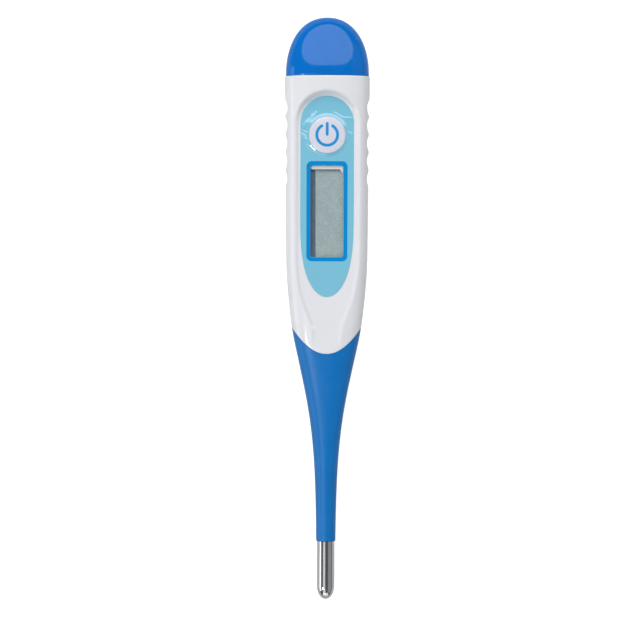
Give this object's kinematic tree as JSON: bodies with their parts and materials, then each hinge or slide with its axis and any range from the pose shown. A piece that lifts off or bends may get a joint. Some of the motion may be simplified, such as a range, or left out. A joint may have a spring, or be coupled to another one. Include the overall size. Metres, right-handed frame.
{
  "type": "digital thermometer",
  "caption": "Slim clinical stick thermometer: white casing with label, button and display window, blue pull-off battery cap, flexible blue probe sleeve and rounded metal tip.",
  "frame": {"origin": "middle of the length and width, on the flat of the back that it rests on", "axes": "+Z out of the display face, +Y along the length towards the battery cap, -Y towards the metal tip, +X across"},
  "size_m": [0.0188, 0.127, 0.0104],
  "materials": {
    "casing_white": "glossy moulded ABS",
    "sleeve_blue": "satin moulded soft elastomer",
    "cap_blue": "polished moulded ABS",
    "plug_grey": "moulded",
    "seal_black": "smooth rubber",
    "label_film": "clear film printed on the back",
    "clear_window": "clear acrylic",
    "button_white": "glossy film over a domed disc",
    "inner_white": "moulded",
    "lcd_grey": "polarising film",
    "lcd_glass": "thin float glass",
    "lcd_reflector": "grey reflecting film",
    "zebra_rubber": "striped silicone",
    "board_green": "solder mask over glass epoxy",
    "component_grey": "small sintered parts",
    "epoxy_black": "cured epoxy drop",
    "spring_steel": "nickel plated spring strip",
    "brass": "rolled sheet",
    "ceramic_disc": "silvered ceramic",
    "cell_steel": "drawn nickel-plated can",
    "wire_enamel": "enamelled fine wire",
    "holder_white": "moulded",
    "tip_steel": "drawn and polished stainless",
    "thermal_epoxy": "filled epoxy",
    "bead_black": "glass-coated bead"
  },
  "bodies": {
    "casing": {"casing": "casing_white", "sleeve_root": "sleeve_blue", "label_film": "label_film", "display_window": "clear_window", "lcd_frame": "inner_white", "lcd_polariser": "lcd_grey", "lcd_front_glass": "lcd_glass", "lcd_rear_glass": "lcd_glass", "lcd_reflector": "lcd_reflector", "zebra_connector": "zebra_rubber", "circuit_board": "board_green", "board_carrier": "inner_white", "board_components": "component_grey", "chip_cover": "epoxy_black", "snap_dome": "spring_steel", "buzzer_plate": "brass", "buzzer_ceramic": "ceramic_disc", "battery": "cell_steel", "battery_contact_positive": "spring_steel", "battery_contact_negative": "spring_steel", "lead_wires": "wire_enamel"},
    "button": {"button_cap": "button_white", "button_plunger": "inner_white"},
    "battery_cap": {"cap_shell": "cap_blue", "cap_plug": "plug_grey", "cap_seal": "seal_black"},
    "flex_1": {"sleeve_1": "sleeve_blue"},
    "flex_2": {"sleeve_2": "sleeve_blue"},
    "flex_3": {"sleeve_3": "sleeve_blue"},
    "flex_4": {"sleeve_4": "sleeve_blue"},
    "flex_5": {"sleeve_5": "sleeve_blue"},
    "flex_6": {"sleeve_6": "sleeve_blue"},
    "flex_7": {"sleeve_7": "sleeve_blue"},
    "flex_8": {"sleeve_8": "sleeve_blue", "tip_holder": "holder_white", "metal_tip": "tip_steel", "thermal_epoxy": "thermal_epoxy", "thermistor_bead": "bead_black"}
  },
  "joints": [
    {"name": "button_press", "type": "slide", "parent": "casing", "child": "button", "axis": [0, 0, -1], "range_m": [0, 0.0003], "stiffness_N_per_m": 3000},
    {"name": "cap_pull", "type": "slide", "parent": "casing", "child": "battery_cap", "axis": [0, 1, 0], "range_m": [0, 0.015]},
    {"name": "bend_up_1", "type": "hinge", "parent": "casing", "child": "flex_1", "pos_m": [0, -0.0185, 0.0047], "axis": [1, 0, 0], "range_deg": [-11, 11], "stiffness_Nm_per_rad": 0.3, "deforming": ["lead_wires"]},
    {"name": "bend_side_1", "type": "hinge", "parent": "flex_1", "child": "flex_2", "pos_m": [0, -0.0225, 0.0047], "axis": [0, 0, 1], "range_deg": [-11, 11], "stiffness_Nm_per_rad": 0.3},
    {"name": "bend_up_2", "type": "hinge", "parent": "flex_2", "child": "flex_3", "pos_m": [0, -0.0265, 0.0047], "axis": [1, 0, 0], "range_deg": [-11, 11], "stiffness_Nm_per_rad": 0.3},
    {"name": "bend_side_2", "type": "hinge", "parent": "flex_3", "child": "flex_4", "pos_m": [0, -0.0305, 0.0047], "axis": [0, 0, 1], "range_deg": [-11, 11], "stiffness_Nm_per_rad": 0.3},
    {"name": "bend_up_3", "type": "hinge", "parent": "flex_4", "child": "flex_5", "pos_m": [0, -0.0345, 0.0047], "axis": [1, 0, 0], "range_deg": [-11, 11], "stiffness_Nm_per_rad": 0.3},
    {"name": "bend_side_3", "type": "hinge", "parent": "flex_5", "child": "flex_6", "pos_m": [0, -0.0385, 0.0047], "axis": [0, 0, 1], "range_deg": [-11, 11], "stiffness_Nm_per_rad": 0.3},
    {"name": "bend_up_4", "type": "hinge", "parent": "flex_6", "child": "flex_7", "pos_m": [0, -0.0425, 0.0047], "axis": [1, 0, 0], "range_deg": [-11, 11], "stiffness_Nm_per_rad": 0.3},
    {"name": "bend_side_4", "type": "hinge", "parent": "flex_7", "child": "flex_8", "pos_m": [0, -0.0465, 0.0047], "axis": [0, 0, 1], "range_deg": [-11, 11], "stiffness_Nm_per_rad": 0.3}
  ]
}
